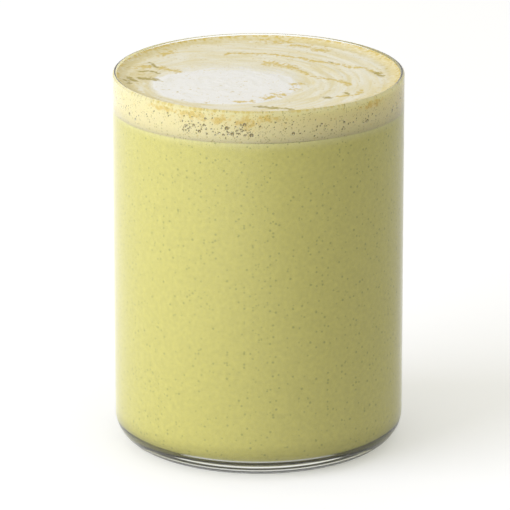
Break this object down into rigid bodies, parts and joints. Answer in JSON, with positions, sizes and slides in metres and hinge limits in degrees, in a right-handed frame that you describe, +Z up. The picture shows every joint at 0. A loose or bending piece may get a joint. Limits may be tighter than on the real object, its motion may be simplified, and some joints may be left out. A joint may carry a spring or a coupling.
{
  "type": "matcha latte",
  "caption": "Matcha latte in a clear straight-sided glass tumbler, filled to the brim, with a layer of milk froth over the green drink.",
  "frame": {"origin": "centre of the tumbler's flat underside, where it stands on the table", "axes": "+Z up the tumbler's axis, -Y towards the side that faces the viewer, +X to the viewer's right"},
  "size_m": [0.08, 0.08, 0.105],
  "materials": {
    "clear_glass": "clear, fire-polished",
    "latte": "opaque milky green liquid with fine powder specks",
    "froth": "fine wet foam with open bubbles, white milk patch and tan streaks"
  },
  "bodies": {
    "root": {"glass_tumbler": "clear_glass", "matcha_latte": "latte", "milk_froth": "froth"}
  },
  "joints": []
}
